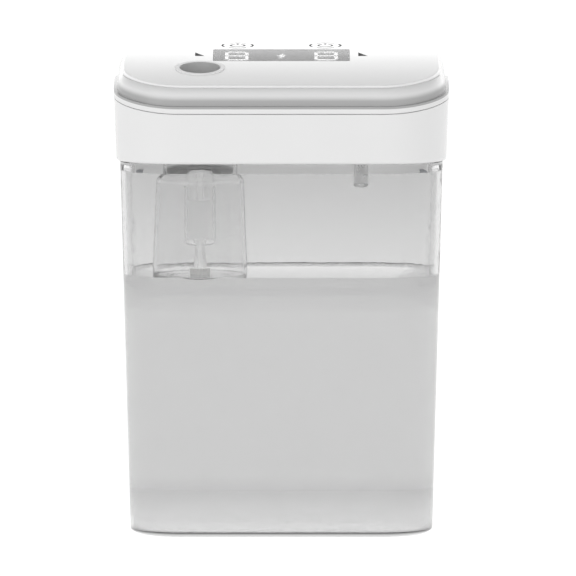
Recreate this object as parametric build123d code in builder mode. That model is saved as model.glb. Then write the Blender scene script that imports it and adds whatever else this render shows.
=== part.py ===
from build123d import *
import math
import os

os.makedirs("parts", exist_ok=True)

# All sizes are millimetres. +Z is up, -Y is the front with the rim lip at its lowest, and the
# origin is under the middle of the tank, on the surface that it stands on.

# ---- Driving dimensions: tank ----
tank_height = 204.0  # up to the ledge that carries the skirt's edge
tank_setback = 2.0  # how far the tank's top stands inside the skirt's edge
tank_taper = (11.0, 7.0, 4.0)  # how much width, depth and corner radius shrink down to the foot
tank_wall = 2.5
tank_floor = 3.0
tank_foot_radius = 4.0
neck_rise = 5.0
neck_step = 2.3  # how far the neck stands inside the tank's outer face
neck_taper_height = 5.0
seal_thickness = 1.2
seal_width = 3.6

# ---- Driving dimensions: head casing ----
head_width = 182.6
head_depth = 113.0
head_corner = 36.0
plan_rise = 32.0  # height above the ledge at which the three sizes above are taken
casing_wall = 2.4
skirt_lift = 0.4  # gap between the tank's ledge and the skirt's edge
skirt_draft = 2.0
skirt_edge = 2.0
lip_rise = (31.7, 42.0, 42.5)  # front, middle and rear of the lip line above the ledge
deck_rise = (43.0, 54.3, 60.9)  # front, middle and rear of the control panel above the ledge
band_height = 4.2
seam_gap = 0.35
tongue_drop = 2.0
tongue_wall = 1.4
tongue_gap = 0.15
shoulder_inset = 1.3
shoulder_rise = 42.0  # height above the ledge at which the shoulder's inset is taken
shoulder_hide = 12.0  # how far below the lip the shoulder's block starts, before it is cut off
shoulder_lean = 3.0
shoulder_radius = 8.0
cover_drop = 1.0  # how far the cover's crown lies below the panel's face
panel_margin = (9.4, 12.0, 3.0)  # how much smaller than the head: width, depth, corner radius
panel_thickness = 2.6
panel_gap = 0.35
panel_edge = 0.9
ledge_width = 6.0
ledge_thickness = 2.0

# ---- Driving dimensions: base plate and fixings ----
plate_thickness = 2.5
plate_gap = 0.3
flange_width = 6.0
flange_thickness = 3.0
lug_radius = 5.0
lug_thickness = 5.0
plate_lug_radius = 4.5
plate_screw_margin = 0.9  # between a screw's head and the inside of the tank's neck
plate_screw_xs = (-30.0, 48.0, 14.0)  # front and rear left, front right, rear right
post_radius = 3.5
post_gap = 0.2
front_post_inset = (25.3, 14.5)  # from the head's side and front
rear_post_inset = (41.3, 8.5)
screw_radius = 1.25
screw_clearance = 0.25
screw_head_radius = 2.6
screw_head_height = 1.6
screw_head_gap = 0.3
screw_recess = 2.2
screw_bite = 6.0
small_chamfer = 0.5

# ---- Driving dimensions: outlet and bubbler ----
bubbler_x = -44.5
bubbler_y = -19.5
outlet_radius = 11.0
outlet_wall = 1.6
outlet_rim = 1.0
outlet_proud = 0.5
fit_gap = 0.1
running_gap = 0.05
collar_wall = 2.3
manifold_rim = 1.6
manifold_floor = 5.5
manifold_height = 11.0
spigot_gap = 0.5
spigot_drop = 5.4
spigot_shell = 5.0
o_ring_height = 1.6
o_ring_depth = 1.2
o_ring_rise = 1.4  # of its groove above the spigot's edge
o_ring_bend = 0.4
gas_port_radius = 2.0
gas_port_circle = 9.0
gas_port_count = 6
gas_port_turn = 30.0
feed_radius = 1.5
feed_boss_wall = 1.2
ear_gap = 1.5  # between the collar round the outlet and the oxygen hose
ear_radius = 4.0
stem_radius = 6.9
stem_top_radius = 5.5
stem_length = 22.0
stem_nut_radius = 7.15
stem_nut_height = 8.0
stem_bend = 0.8
dip_radius = 8.5
dip_wall = 1.5
dip_bend = 2.6
dip_top_drop = 20.2  # how far the dip tube's ends hang below the base plate
dip_bottom_drop = 52.2
nozzle_top_radius = 2.6
nozzle_tip_radius = 3.6
nozzle_length = 13.0
nozzle_collar = 1.5
nozzle_bore = 1.05
diffuser_radius = 5.6
diffuser_core = 3.8
diffuser_height = 5.5
diffuser_points = 8
bottle_wall = 1.8
bottle_neck_radius = 20.5
bottle_shoulder_radius = 24.0
bottle_foot_radius = 26.3
bottle_drop = 73.2  # how far the bottle's bottom, neck and shoulder hang below the base plate
bottle_neck_drop = 12.2
bottle_shoulder_drop = 16.2
bottle_bend = 3.0
bottle_foot_bend = 7.0
bottle_port_radius = 1.5
bottle_port_circle = 14.0
bottle_port_count = 6
vent_x = 43.5
vent_tube_radius = 4.0
vent_bore_radius = 1.85
vent_tube_drop = 21.2
vent_cut_angle = 22.0
vent_cut_rise = 1.6
vent_barb_length = 10.0
vent_flange_radius = 5.0
vent_flange_height = 2.2

# ---- Driving dimensions: display and touch pads ----
window_width = 74.8
window_depth = 29.5
window_y = 10.45
window_corner = 0.8
window_thickness = 1.2
window_ledge = 0.8
inlay_gap = 0.1
module_thickness = 6.0
module_gap = 0.5
segment_height = 0.15
digit_x = 24.5
digit_width = 12.7
digit_length = 20.6
segment_width = 1.7
segment_split = 0.5
segment_overrun = 1.0  # how much longer the level bars are than the gap between the uprights
bolt_points = [(1.2, 5.2), (-2.6, -0.8), (-0.4, -0.8), (-1.2, -5.2), (2.6, 0.8), (0.4, 0.8)]
pad_x = 24.2
pad_y = 37.2
pad_radius = 9.0
pad_line = 1.1
pad_break = 3.2
pad_symbol_radius = 4.4
pad_spring_radius = 5.4
pad_spring_wall = 0.8
icon_x = 44.8
icon_y = 12.0
icon_width = 5.2
icon_depth = 9.0
inlay_depth = 0.5
board_thickness = 1.6
display_board_width = 84.0
display_board_depth = 52.0
display_board_y = 20.5
display_post_radius = 2.4
display_post_inset = (3.5, 5.0)
display_pilot_radius = 1.0

# ---- Driving dimensions: inside the head ----
canister_radius = 11.0
canister_length = 56.0
canister_cap = 5.0
canister_groove = (1.2, 0.7)  # width and depth of the crimped groove by each cap
canister_bend = 1.2
canister_left = -66.0
canister_front_y = 9.6
canister_spacing = 1.2  # between the two
canister_seat = 1.5  # height of the canister's underside above the base plate
saddle_inset = 12.0
saddle_width = 4.0
saddle_wrap = 0.7  # share of the canister's radius that a saddle holds
valve_pad_size = 7.0
valve_margins = (10.5, 3.5)  # past the front canister's and the rear solenoid's axes
valve_tower_size = 9.0
valve_block_width = 16.0
valve_block_height = 20.0  # above the base plate
seat_gap = 0.3
valve_tower_height = 10.0
solenoid_radius = 6.0
solenoid_height = 13.0
solenoid_cap = 2.0
solenoid_bend = 1.0
solenoid_ys = (20.5, 33.0)
plunger_radius = 2.0
plunger_length = 9.0
plunger_travel = 1.2
plunger_chamfer = 0.4
hose_radius = 2.5
hose_bore = 1.5
barb_radius = 1.45
barb_bore = 0.9
barb_length = 6.0
barb_sink = 0.1  # how far a barb's root is let into its block
hose_end = 0.2  # how far a hose stops short of the face behind its barb
hose_drop = 3.0  # of the pressure line below the valve tower's top
bridge_rise = 12.0  # of the oxygen hose above the reservoir
oxygen_bends = [5.2, 9.5]
intake_bends = [6.5]
product_block_length = 7.0
product_block_margin = 9.0  # past the canisters' axes
product_block_rise = 6.0
reservoir_y = -35.0
reservoir_radius = 10.0
reservoir_height = 17.0
reservoir_bend = 2.5
reservoir_port = 3.5  # how far left of its axis the reservoir's outlet stands
compressor_x = 12.0
compressor_length = 38.0
compressor_depth = 34.0
compressor_height = 30.0
compressor_y = 16.0
compressor_bore = 13.0
compressor_corner = 3.0
compressor_bolt_inset = 3.0
intake_barb_shift = 8.5  # of the intake barb behind the compressor's axis
fin_count = 5
fin_pitch = 5.0
fin_start = 9.0
fin_groove = 2.0
fin_depths = (1.2, 0.8)  # of the grooves in the sides and in the top
foot_rail = 1.5  # uncut height along the housing's underside
mount_height = 3.0
mount_radius = 4.0
mount_inset = 5.0
head_plate_length = 6.0
reed_thickness = 0.3
reed_size = (7.0, 3.2)
reed_shift = 4.0
liner_length = 11.0
coil_gap = 1.0  # along the bore between the liner and the coil
armature_gap = 0.4
piston_radius = 8.0
piston_head_length = 10.0
armature_radius = 9.5
armature_length = 14.0
coil_length = 23.0
rod_radius = 2.0
end_cap_length = 5.0
piston_gap = 3.0
piston_chamfer = 0.4
rod_margin = 0.5  # between the rod's end and the outside of the end cap
battery_x = 22.0
battery_y = -27.0
battery_width = 28.0
battery_depth = 34.0
battery_height = 17.0
battery_bend = 1.5
fence_gap = 0.3
fence_wall = 1.0
fence_height = 3.0
main_board_width = 40.0
main_board_depth = 38.0
main_board_lift = 21.5
standoff_radius = 2.0
standoff_inset = (3.0, 2.5)
chip_height = 1.6
chips = [  # place from the board's middle, then size
    ((-8.0, 4.0), (10.0, 10.0)),
    ((8.0, 6.0), (6.0, 8.0)),
    ((12.0, -10.0), (7.0, 5.0)),
    ((-10.0, -11.0), (12.0, 4.0)),
]
capacitor_radius = 2.5
capacitor_height = 4.0
capacitor_places = [(0.0, -8.0), (4.0, 13.0)]
fan_x = 31.5
fan_size = 25.0
fan_depth = 8.0
fan_bore = 11.6
fan_hub_radius = 5.0
fan_tip_gap = 0.6
fan_blades = 7
fan_blade_chord = 5.4
fan_blade_pitch = 35.0
fan_blade_half = 0.7
fan_blade_root = 0.8  # how deep a blade is rooted in the hub
fan_face_gap = 0.4
fan_spoke = 1.4
fan_hole_inset = 2.2
fan_shaft_radius = 1.0
exhaust_count = 7
grille_margin = 2.5  # between a slot's end and the edge of what it is cut in
filter_x = -26.0
filter_width = 32.0
filter_height = 18.0
filter_rise = 23.0  # of the filter's middle above the ledge
filter_corner = 2.0
filter_slots = 8
filter_box_margin = 2.0
filter_box_floor = 1.6
filter_box_lip = 1.0
filter_box_roof = 2.6  # above the hose's axis
filter_foam_gap = 0.2
filter_barb_inset = 4.0
filter_cover_bend = 0.6
filter_box_gap = 0.35  # between the box and the rear canister
filter_cover_gap = 0.3
grille_slot = 1.6
grille_pitch = 3.2
socket_x = 4.0
socket_size = 9.0
socket_depth = 10.0
socket_hole = 8.0
socket_bore = 2.9
socket_pin = 1.0
socket_corner = 0.8
socket_opening_gap = 1.2
small_corner = 1.5  # rounding of blocks and boards seen only inside
block_corner = 2.0
wall_overcut = 4.0  # how far past the casing's wall its openings are cut

# ---- Levels and places that follow from the sizes above ----
plan_level = tank_height + plan_rise
shoulder_level = tank_height + shoulder_rise
filter_level = tank_height + filter_rise
lip_heights = [tank_height + rise for rise in lip_rise]
deck_heights = [tank_height + rise for rise in deck_rise]
panel_width = head_width - panel_margin[0]
panel_depth = head_depth - panel_margin[1]
panel_corner = head_corner - panel_margin[2]
skirt_bottom = tank_height + skirt_lift
neck_top = tank_height + neck_rise
plate_bottom = neck_top + seal_thickness
plate_top = plate_bottom + plate_thickness
flange_top = plate_top + flange_thickness
lug_top = plate_top + lug_thickness
half_depth = head_depth / 2
reach = head_depth * 0.62  # how far past the middle the crowned curves are drawn
above = max(deck_heights) + 20.0
canister_z = plate_top + canister_seat + canister_radius
canister_ys = (canister_front_y, canister_front_y + 2 * canister_radius + canister_spacing)
canister_right = canister_left + canister_length
port_outer = outlet_radius + outlet_wall
manifold_radius = port_outer + fit_gap + collar_wall
neck_inner = bottle_neck_radius - bottle_wall
spigot_radius = neck_inner - spigot_gap
dip_top = plate_bottom - dip_top_drop
dip_bottom = plate_bottom - dip_bottom_drop
bottle_bottom = plate_bottom - bottle_drop
bottle_neck_low = plate_bottom - bottle_neck_drop
bottle_shoulder_low = plate_bottom - bottle_shoulder_drop
vent_tube_end = plate_bottom - vent_tube_drop
front_post_x = head_width / 2 - front_post_inset[0]
front_post_y = head_depth / 2 - front_post_inset[1]
rear_post_x = head_width / 2 - rear_post_inset[0]
rear_post_y = head_depth / 2 - rear_post_inset[1]
cover_posts = [
    (-front_post_x, -front_post_y),
    (front_post_x, -front_post_y),
    (-rear_post_x, rear_post_y),
    (rear_post_x, rear_post_y),
]
bubbler_axis = Axis((bubbler_x, bubbler_y, 0), (0, 0, 1))
bubbler_plane = Plane(origin=(bubbler_x, bubbler_y, 0), x_dir=(1, 0, 0), z_dir=(0, -1, 0))


def crown(heights, half, y):
    slope = (heights[2] - heights[0]) / (2 * half)
    bow = (heights[2] + heights[0] - 2 * heights[1]) / (2 * half**2)
    return heights[1] + slope * y + bow * y**2


def lip_curve(drop=0.0):
    return [(y, crown(lip_heights, half_depth, y) - drop) for y in (-reach, 0, reach)]


def deck_level(y, drop=0.0):
    return crown(deck_heights, panel_depth / 2, y) - drop


def deck_curve(drop=0.0):
    return [(y, deck_level(y, drop)) for y in (-reach, 0, reach)]


def side_profile(curve):
    # everything under a crowned curve, seen from the side
    with BuildSketch(Plane.YZ) as profile:
        with BuildLine():
            ThreePointArc(*curve)
            Polyline(curve[2], (reach, -1), (-reach, -1), curve[0])
        make_face()
    return profile.sketch


def keep_under(curve):
    extrude(side_profile(curve), amount=head_width, both=True, mode=Mode.INTERSECT)


def cut_under(curve):
    extrude(side_profile(curve), amount=head_width, both=True, mode=Mode.SUBTRACT)


def head_plan(level, inset=0.0):
    # width, depth and corner radius of the drafted casing at a level, less an inset
    shift = (plan_level - level) * math.tan(math.radians(skirt_draft)) + inset
    return head_width - 2 * shift, head_depth - 2 * shift, head_corner - shift


def tank_plan(level, inset=0.0):
    # the same for the tank, which tapers evenly from its top down to its foot
    width, depth, corner = head_plan(skirt_bottom, tank_setback + inset)
    share = 1 - level / tank_height
    return width - share * tank_taper[0], depth - share * tank_taper[1], corner - share * tank_taper[2]


def finish(builder, name):
    builder.part.label = name
    export_step(builder.part, f"parts/{name}.step")


def barb(plane, length=barb_length):
    # hollow hose tail along the plane's normal
    with BuildPart() as tail:
        with BuildSketch(plane):
            Circle(barb_radius)
        extrude(amount=length)
        with BuildSketch(plane):
            Circle(barb_bore)
        extrude(amount=length, mode=Mode.SUBTRACT)
    return tail.part


# ---- Tank ----
with BuildPart() as tank:
    with BuildSketch():
        RectangleRounded(*tank_plan(0))
    with BuildSketch(Plane.XY.offset(tank_height)):
        RectangleRounded(*tank_plan(tank_height))
    loft()
    fillet(faces().sort_by(Axis.Z)[0].edges(), radius=tank_foot_radius)
    with BuildSketch(Plane.XY.offset(tank_height)):
        RectangleRounded(*tank_plan(tank_height, neck_step))
    extrude(amount=neck_rise)
    with BuildSketch(Plane.XY.offset(tank_floor)):
        RectangleRounded(*tank_plan(tank_floor, tank_wall))
    with BuildSketch(Plane.XY.offset(tank_height - neck_taper_height)):
        RectangleRounded(*tank_plan(tank_height - neck_taper_height, tank_wall))
    loft(mode=Mode.SUBTRACT)
    with BuildSketch(Plane.XY.offset(tank_height - neck_taper_height)):
        RectangleRounded(*tank_plan(tank_height - neck_taper_height, tank_wall))
    with BuildSketch(Plane.XY.offset(tank_height)):
        RectangleRounded(*tank_plan(tank_height, neck_step + tank_wall))
    loft(mode=Mode.SUBTRACT)
    with BuildSketch(Plane.XY.offset(tank_height)):
        RectangleRounded(*tank_plan(tank_height, neck_step + tank_wall))
    extrude(amount=neck_rise, mode=Mode.SUBTRACT)
finish(tank, "tank")

with BuildPart() as tank_seal:
    seal_outer = neck_step - (seal_width - tank_wall) / 2
    with BuildSketch(Plane.XY.offset(neck_top)):
        RectangleRounded(*tank_plan(tank_height, seal_outer))
        RectangleRounded(*tank_plan(tank_height, seal_outer + seal_width), mode=Mode.SUBTRACT)
    extrude(amount=seal_thickness)
finish(tank_seal, "tank_seal")

# ---- Base plate, with the saddles and pads that carry what stands on it ----
plate_plan = head_plan(plate_bottom, casing_wall + plate_gap)
screw_plan = tank_plan(tank_height, neck_step + tank_wall + screw_head_radius + plate_screw_margin)
screw_x = screw_plan[0] / 2
screw_y = screw_plan[1] / 2
plate_screws = [
    (-screw_x, 0),
    (screw_x, 0),
    (plate_screw_xs[0], -screw_y),
    (plate_screw_xs[1], -screw_y),
    (plate_screw_xs[0], screw_y),
    (plate_screw_xs[2], screw_y),
]
board_post_x = main_board_width / 2 - standoff_inset[0]
board_post_y = main_board_depth / 2 - standoff_inset[1]
board_posts = [
    (battery_x + side_x * board_post_x, battery_y + side_y * board_post_y)
    for side_x in (-1, 1)
    for side_y in (-1, 1)
]
fence_edge = fence_gap + fence_wall
saddle_xs = (canister_left + saddle_inset, canister_right - saddle_inset)

with BuildPart() as base_plate:
    with BuildSketch(Plane.XY.offset(plate_bottom)):
        RectangleRounded(*plate_plan)
        with Locations((bubbler_x, bubbler_y)):
            Circle(spigot_radius + fit_gap, mode=Mode.SUBTRACT)
        with Locations((vent_x, bubbler_y)):
            Circle(barb_radius + fit_gap, mode=Mode.SUBTRACT)
        with Locations(*plate_screws):
            Circle(screw_radius + screw_clearance, mode=Mode.SUBTRACT)
    extrude(amount=plate_thickness)
    # saddles under the two sieve canisters
    with BuildSketch(Plane.XY.offset(plate_top)):
        with Locations(*[(x, y) for x in saddle_xs for y in canister_ys]):
            Rectangle(saddle_width, 2 * saddle_wrap * canister_radius)
    extrude(amount=saddle_wrap * canister_radius)
    with BuildSketch(Plane.YZ.offset(canister_left)):
        with Locations(*[(y, canister_z) for y in canister_ys]):
            Circle(canister_radius + fit_gap)
    extrude(amount=canister_length, mode=Mode.SUBTRACT)
    # pads under the valve block
    with BuildSketch(Plane.XY.offset(plate_top)):
        with Locations(*[(canister_left - valve_block_width / 3, y) for y in canister_ys]):
            Rectangle(valve_pad_size, valve_pad_size)
    extrude(amount=flange_thickness + seat_gap)
    # pillars under the main board
    with BuildSketch(Plane.XY.offset(plate_top)):
        with Locations(*board_posts):
            Circle(standoff_radius)
    extrude(amount=main_board_lift)
    # low fence round the battery pack
    with BuildSketch(Plane.XY.offset(plate_top)):
        with Locations((battery_x, battery_y)):
            Rectangle(battery_width + 2 * fence_edge, battery_depth + 2 * fence_edge)
            Rectangle(battery_width + 2 * fence_gap, battery_depth + 2 * fence_gap, mode=Mode.SUBTRACT)
    extrude(amount=fence_height)
finish(base_plate, "base_plate")

# ---- Skirt: the lower casing of the head ----
rear_outer = head_plan(filter_level)[1] / 2
rear_inner = rear_outer - casing_wall
fan_z = flange_top + fit_gap + fan_size / 2
socket_z = flange_top + fit_gap + socket_size / 2

with BuildPart() as head_skirt:
    with BuildSketch(Plane.XY.offset(skirt_bottom)):
        RectangleRounded(*head_plan(skirt_bottom))
    extrude(amount=above - skirt_bottom, taper=-skirt_draft)
    keep_under(lip_curve(band_height))
    fillet(faces().sort_by(Axis.Z)[0].edges(), radius=skirt_edge)
    with BuildSketch(Plane.XY.offset(skirt_bottom)):
        RectangleRounded(*head_plan(skirt_bottom, casing_wall))
    extrude(amount=above - skirt_bottom, taper=-skirt_draft, mode=Mode.SUBTRACT)
    # inner flange that the base plate screws up against
    with BuildSketch(Plane.XY.offset(plate_top)):
        RectangleRounded(*head_plan(plate_top, casing_wall / 2))
        RectangleRounded(*head_plan(plate_top, casing_wall + flange_width), mode=Mode.SUBTRACT)
        with Locations(*plate_screws):
            Circle(plate_lug_radius)
            Circle(screw_radius, mode=Mode.SUBTRACT)
    extrude(amount=flange_thickness)
    # lugs for the screws that hold the top cover
    with BuildSketch(Plane.XY.offset(plate_top)):
        with Locations(*cover_posts):
            Circle(lug_radius)
    extrude(amount=lug_thickness)
    with BuildSketch(Plane.XY.offset(plate_top)):
        with Locations(*cover_posts):
            Circle(screw_radius + screw_clearance)
    extrude(amount=lug_thickness, mode=Mode.SUBTRACT)
    with BuildSketch(Plane.XY.offset(plate_top)):
        with Locations(*cover_posts):
            Circle(screw_head_radius + screw_head_gap)
    extrude(amount=screw_recess, mode=Mode.SUBTRACT)
    # window for the intake filter, exhaust slots and charging hole, all through the rear wall
    with BuildSketch(Plane.XZ.offset(-rear_inner + wall_overcut / 4)):
        with Locations((filter_x, filter_level)):
            RectangleRounded(filter_width, filter_height, filter_corner)
        with Locations((fan_x, fan_z)):
            with GridLocations(grille_pitch, 1, exhaust_count, 1):
                SlotOverall(fan_size - 2 * grille_margin, grille_slot, rotation=90)
        with Locations((socket_x, socket_z)):
            Circle(socket_bore + socket_opening_gap)
    extrude(amount=-(casing_wall + wall_overcut), mode=Mode.SUBTRACT)
finish(head_skirt, "head_skirt")

# ---- Top cover: band, lip and rolled shoulder, with a pocket for the control panel ----
seam_curve = lip_curve(band_height - seam_gap)
ceiling_curve = deck_curve(panel_thickness + ledge_thickness)

with BuildPart() as band_ring:
    with BuildSketch(Plane.XY.offset(skirt_bottom)):
        RectangleRounded(*head_plan(skirt_bottom))
    extrude(amount=above - skirt_bottom, taper=-skirt_draft)
    keep_under(lip_curve())
    cut_under(seam_curve)

shoulder_base = min(lip_heights) - shoulder_hide
shoulder_shift = math.tan(math.radians(shoulder_lean)) * (shoulder_level - shoulder_base)
shoulder_offset = shoulder_inset + (plan_level - shoulder_level) * -math.tan(math.radians(skirt_draft))
shoulder_plan = (
    head_width - 2 * (shoulder_offset - shoulder_shift),
    head_depth - 2 * (shoulder_offset - shoulder_shift),
    head_corner - shoulder_offset + shoulder_shift,
)
with BuildPart() as shoulder:
    with BuildSketch(Plane.XY.offset(shoulder_base)):
        RectangleRounded(*shoulder_plan)
    extrude(amount=above - shoulder_base, taper=shoulder_lean)
    keep_under(deck_curve(cover_drop))
    fillet(faces().sort_by(Axis.Z)[-1].edges(), radius=shoulder_radius)
    cut_under(lip_curve(band_height / 2))

tongue_inset = casing_wall + tongue_gap
with BuildPart() as tongue:
    with BuildSketch(Plane.XY.offset(skirt_bottom)):
        RectangleRounded(*head_plan(skirt_bottom, tongue_inset))
    extrude(amount=above - skirt_bottom, taper=-skirt_draft)
    keep_under(lip_curve(band_height / 2))
    cut_under(lip_curve(band_height + tongue_drop))

with BuildPart() as cover_core:
    with BuildSketch(Plane.XY.offset(skirt_bottom)):
        RectangleRounded(*head_plan(skirt_bottom, tongue_inset + tongue_wall))
    extrude(amount=above - skirt_bottom)
    keep_under(ceiling_curve)

with BuildPart() as cover_posts_solid:
    with BuildSketch(Plane.XY.offset(lug_top + post_gap)):
        with Locations(*cover_posts):
            Circle(post_radius)
    extrude(amount=above - lug_top)
    keep_under(deck_curve(panel_thickness))
    with BuildSketch(Plane.XY.offset(lug_top + post_gap)):
        with Locations(*cover_posts):
            Circle(screw_radius)
    extrude(amount=screw_bite + screw_recess, mode=Mode.SUBTRACT)

with BuildPart() as panel_pocket:
    with BuildSketch(Plane.XY.offset(deck_heights[0] - 2 * panel_thickness)):
        RectangleRounded(panel_width + 2 * panel_gap, panel_depth + 2 * panel_gap, panel_corner + panel_gap)
    extrude(amount=above)
    cut_under(deck_curve(panel_thickness))

with BuildPart() as top_cover:
    add(band_ring.part)
    add(shoulder.part)
    add(tongue.part)
    add(cover_core.part, mode=Mode.SUBTRACT)
    add(panel_pocket.part, mode=Mode.SUBTRACT)
    with BuildSketch(Plane.XY.offset(skirt_bottom)):
        opening_corner = panel_corner - ledge_width
        RectangleRounded(panel_width - 2 * ledge_width, panel_depth - 2 * ledge_width, opening_corner)
    extrude(amount=above, mode=Mode.SUBTRACT)
    add(cover_posts_solid.part)
finish(top_cover, "top_cover")


# ---- Inlays in the control panel ----
def ring_symbol():
    # broken circle round a power symbol
    Circle(pad_radius)
    Circle(pad_radius - pad_line, mode=Mode.SUBTRACT)
    with PolarLocations(pad_radius, 4, start_angle=45):
        Rectangle(3 * pad_line, pad_break, mode=Mode.SUBTRACT)
    Circle(pad_symbol_radius)
    Circle(pad_symbol_radius - pad_line, mode=Mode.SUBTRACT)
    with Locations((0, pad_symbol_radius)):
        Rectangle(3 * pad_line, 3 * pad_line, mode=Mode.SUBTRACT)
        Rectangle(pad_line, 3 * pad_line)


def ramp_symbols():
    # two wedges that both fall to the right
    for middle in (-icon_x, icon_x):
        left, right = middle - icon_width / 2, middle + icon_width / 2
        with BuildLine() as outline:
            Polyline((left, -icon_depth / 2), (right, -icon_depth / 2), (left, icon_depth / 2), close=True)
        make_face(outline.line.edges())


def bolt_symbol():
    with BuildLine() as outline:
        Polyline(*bolt_points, close=True)
    make_face(outline.line.edges())


def segments():
    # seven bars of a figure eight
    half_w = (digit_width - segment_width) / 2
    half_l = (digit_length - segment_width) / 2
    bar = digit_width - 2 * segment_width - 2 * segment_split
    side = (digit_length - 3 * segment_width) / 2 - 2 * segment_split
    with Locations((0, -half_l), (0, 0), (0, half_l)):
        Rectangle(bar + segment_overrun, segment_width)
    with Locations(*[(x, y) for x in (-half_w, half_w) for y in (-half_l / 2, half_l / 2)]):
        Rectangle(segment_width, side)


def deck_piece(place, draw, top_drop, bottom_drop):
    # a flat drawing carried up to the panel's face and cut to lie between two depths
    with BuildPart() as piece:
        with BuildSketch(Plane.XY.offset(flange_top)):
            with Locations(place):
                with BuildSketch(mode=Mode.PRIVATE) as drawing:
                    draw()
                add(drawing.sketch)
        extrude(amount=above)
        keep_under(deck_curve(top_drop))
        cut_under(deck_curve(bottom_drop))
    return piece


touch_ring_left = deck_piece((-pad_x, pad_y), ring_symbol, 0, inlay_depth)
touch_ring_right = deck_piece((pad_x, pad_y), ring_symbol, 0, inlay_depth)
level_icons = deck_piece((0, icon_y), ramp_symbols, 0, inlay_depth)
finish(touch_ring_left, "touch_ring_left")
finish(touch_ring_right, "touch_ring_right")
finish(level_icons, "level_icons")

window_place = (0, window_y)
window_opening = (window_width - 2 * window_ledge, window_depth - 2 * window_ledge)
display_window = deck_piece(
    window_place,
    lambda: RectangleRounded(window_width, window_depth, window_corner),
    0,
    window_thickness,
)
finish(display_window, "display_window")

module_top = window_thickness + 2 * segment_height
display_module = deck_piece(
    window_place,
    lambda: Rectangle(window_opening[0] - 2 * inlay_gap, window_opening[1] - 2 * inlay_gap),
    module_top,
    module_top + module_thickness,
)
finish(display_module, "display_module")

segment_top = window_thickness + segment_height
digit_left = deck_piece((-digit_x, window_y), segments, segment_top, module_top)
digit_right = deck_piece((digit_x, window_y), segments, segment_top, module_top)
charge_symbol = deck_piece(window_place, bolt_symbol, segment_top, module_top)
finish(digit_left, "digit_left")
finish(digit_right, "digit_right")
finish(charge_symbol, "charge_symbol")

# ---- Display board: a flat board tilted to the panel's slope under the display ----
board_slope = math.degrees(math.atan((deck_level(window_y + 1) - deck_level(window_y - 1)) / 2))
board_top_z = deck_level(window_y, module_top + module_thickness + module_gap)
board_rise = math.tan(math.radians(board_slope)) * (display_board_y - window_y)
board_plane = Plane(origin=(0, display_board_y, board_top_z + board_rise)).rotated((board_slope, 0, 0))
post_x = display_board_width / 2 - display_post_inset[0]
post_y = display_board_depth / 2 - display_post_inset[1]
display_posts = [(x, y) for x in (-post_x, post_x) for y in (-post_y, post_y)]
board_to_deck = 4 * module_thickness  # more than the distance from the board up to the panel

with BuildPart() as display_board:
    with BuildSketch(board_plane):
        RectangleRounded(display_board_width, display_board_depth, block_corner)
        with Locations(*display_posts):
            Circle(screw_radius, mode=Mode.SUBTRACT)
    extrude(amount=-board_thickness)
finish(display_board, "display_board")

with BuildPart() as display_posts_solid:
    with BuildSketch(board_plane):
        with Locations(*display_posts):
            Circle(display_post_radius)
            Circle(display_pilot_radius, mode=Mode.SUBTRACT)
    extrude(amount=board_to_deck)
    keep_under(deck_curve(panel_thickness - inlay_depth))

with BuildPart() as touch_springs:
    with BuildSketch(board_plane):
        with Locations(*[(x, pad_y - display_board_y) for x in (-pad_x, pad_x)]):
            Circle(pad_spring_radius)
            Circle(pad_spring_radius - pad_spring_wall, mode=Mode.SUBTRACT)
    extrude(amount=board_to_deck)
    keep_under(deck_curve(panel_thickness + fit_gap))
finish(touch_springs, "touch_springs")

# ---- Control panel ----
pocket_size = (window_width + 2 * inlay_gap, window_depth + 2 * inlay_gap, window_corner + inlay_gap)
window_pocket = deck_piece(
    window_place,
    lambda: RectangleRounded(*pocket_size),
    -panel_edge,
    window_thickness,
)
with BuildPart() as control_panel:
    with BuildSketch(Plane.XY.offset(deck_heights[0] - 2 * panel_thickness)):
        RectangleRounded(panel_width, panel_depth, panel_corner)
    extrude(amount=above)
    keep_under(deck_curve())
    fillet(faces().sort_by(Axis.Z)[-1].edges(), radius=panel_edge)
    cut_under(deck_curve(panel_thickness))
    add(display_posts_solid.part)
    with BuildSketch(Plane.XY.offset(skirt_bottom)):
        with Locations((bubbler_x, bubbler_y)):
            Circle(port_outer + fit_gap)
        with Locations(window_place):
            Rectangle(*window_opening)
    extrude(amount=above, mode=Mode.SUBTRACT)
    add(window_pocket.part, mode=Mode.SUBTRACT)
    for inlay in (touch_ring_left, touch_ring_right, level_icons):
        add(inlay.part, mode=Mode.SUBTRACT)
finish(control_panel, "control_panel")

# ---- Outlet port: the sleeve that takes a 22 mm breathing connector ----
sleeve_bottom = plate_top + manifold_floor
rim_radius = port_outer + outlet_rim
rim_place = (bubbler_x, bubbler_y)
outlet_rim_ring = deck_piece(rim_place, lambda: Circle(rim_radius), -outlet_proud, 0)
with BuildPart() as outlet_port:
    with BuildSketch(Plane.XY.offset(sleeve_bottom)):
        with Locations(rim_place):
            Circle(port_outer)
    extrude(amount=above)
    keep_under(deck_curve(-outlet_proud))
    add(outlet_rim_ring.part)
    with BuildSketch(Plane.XY.offset(sleeve_bottom)):
        with Locations(rim_place):
            Circle(outlet_radius)
    extrude(amount=above, mode=Mode.SUBTRACT)
finish(outlet_port, "outlet_port")

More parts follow.
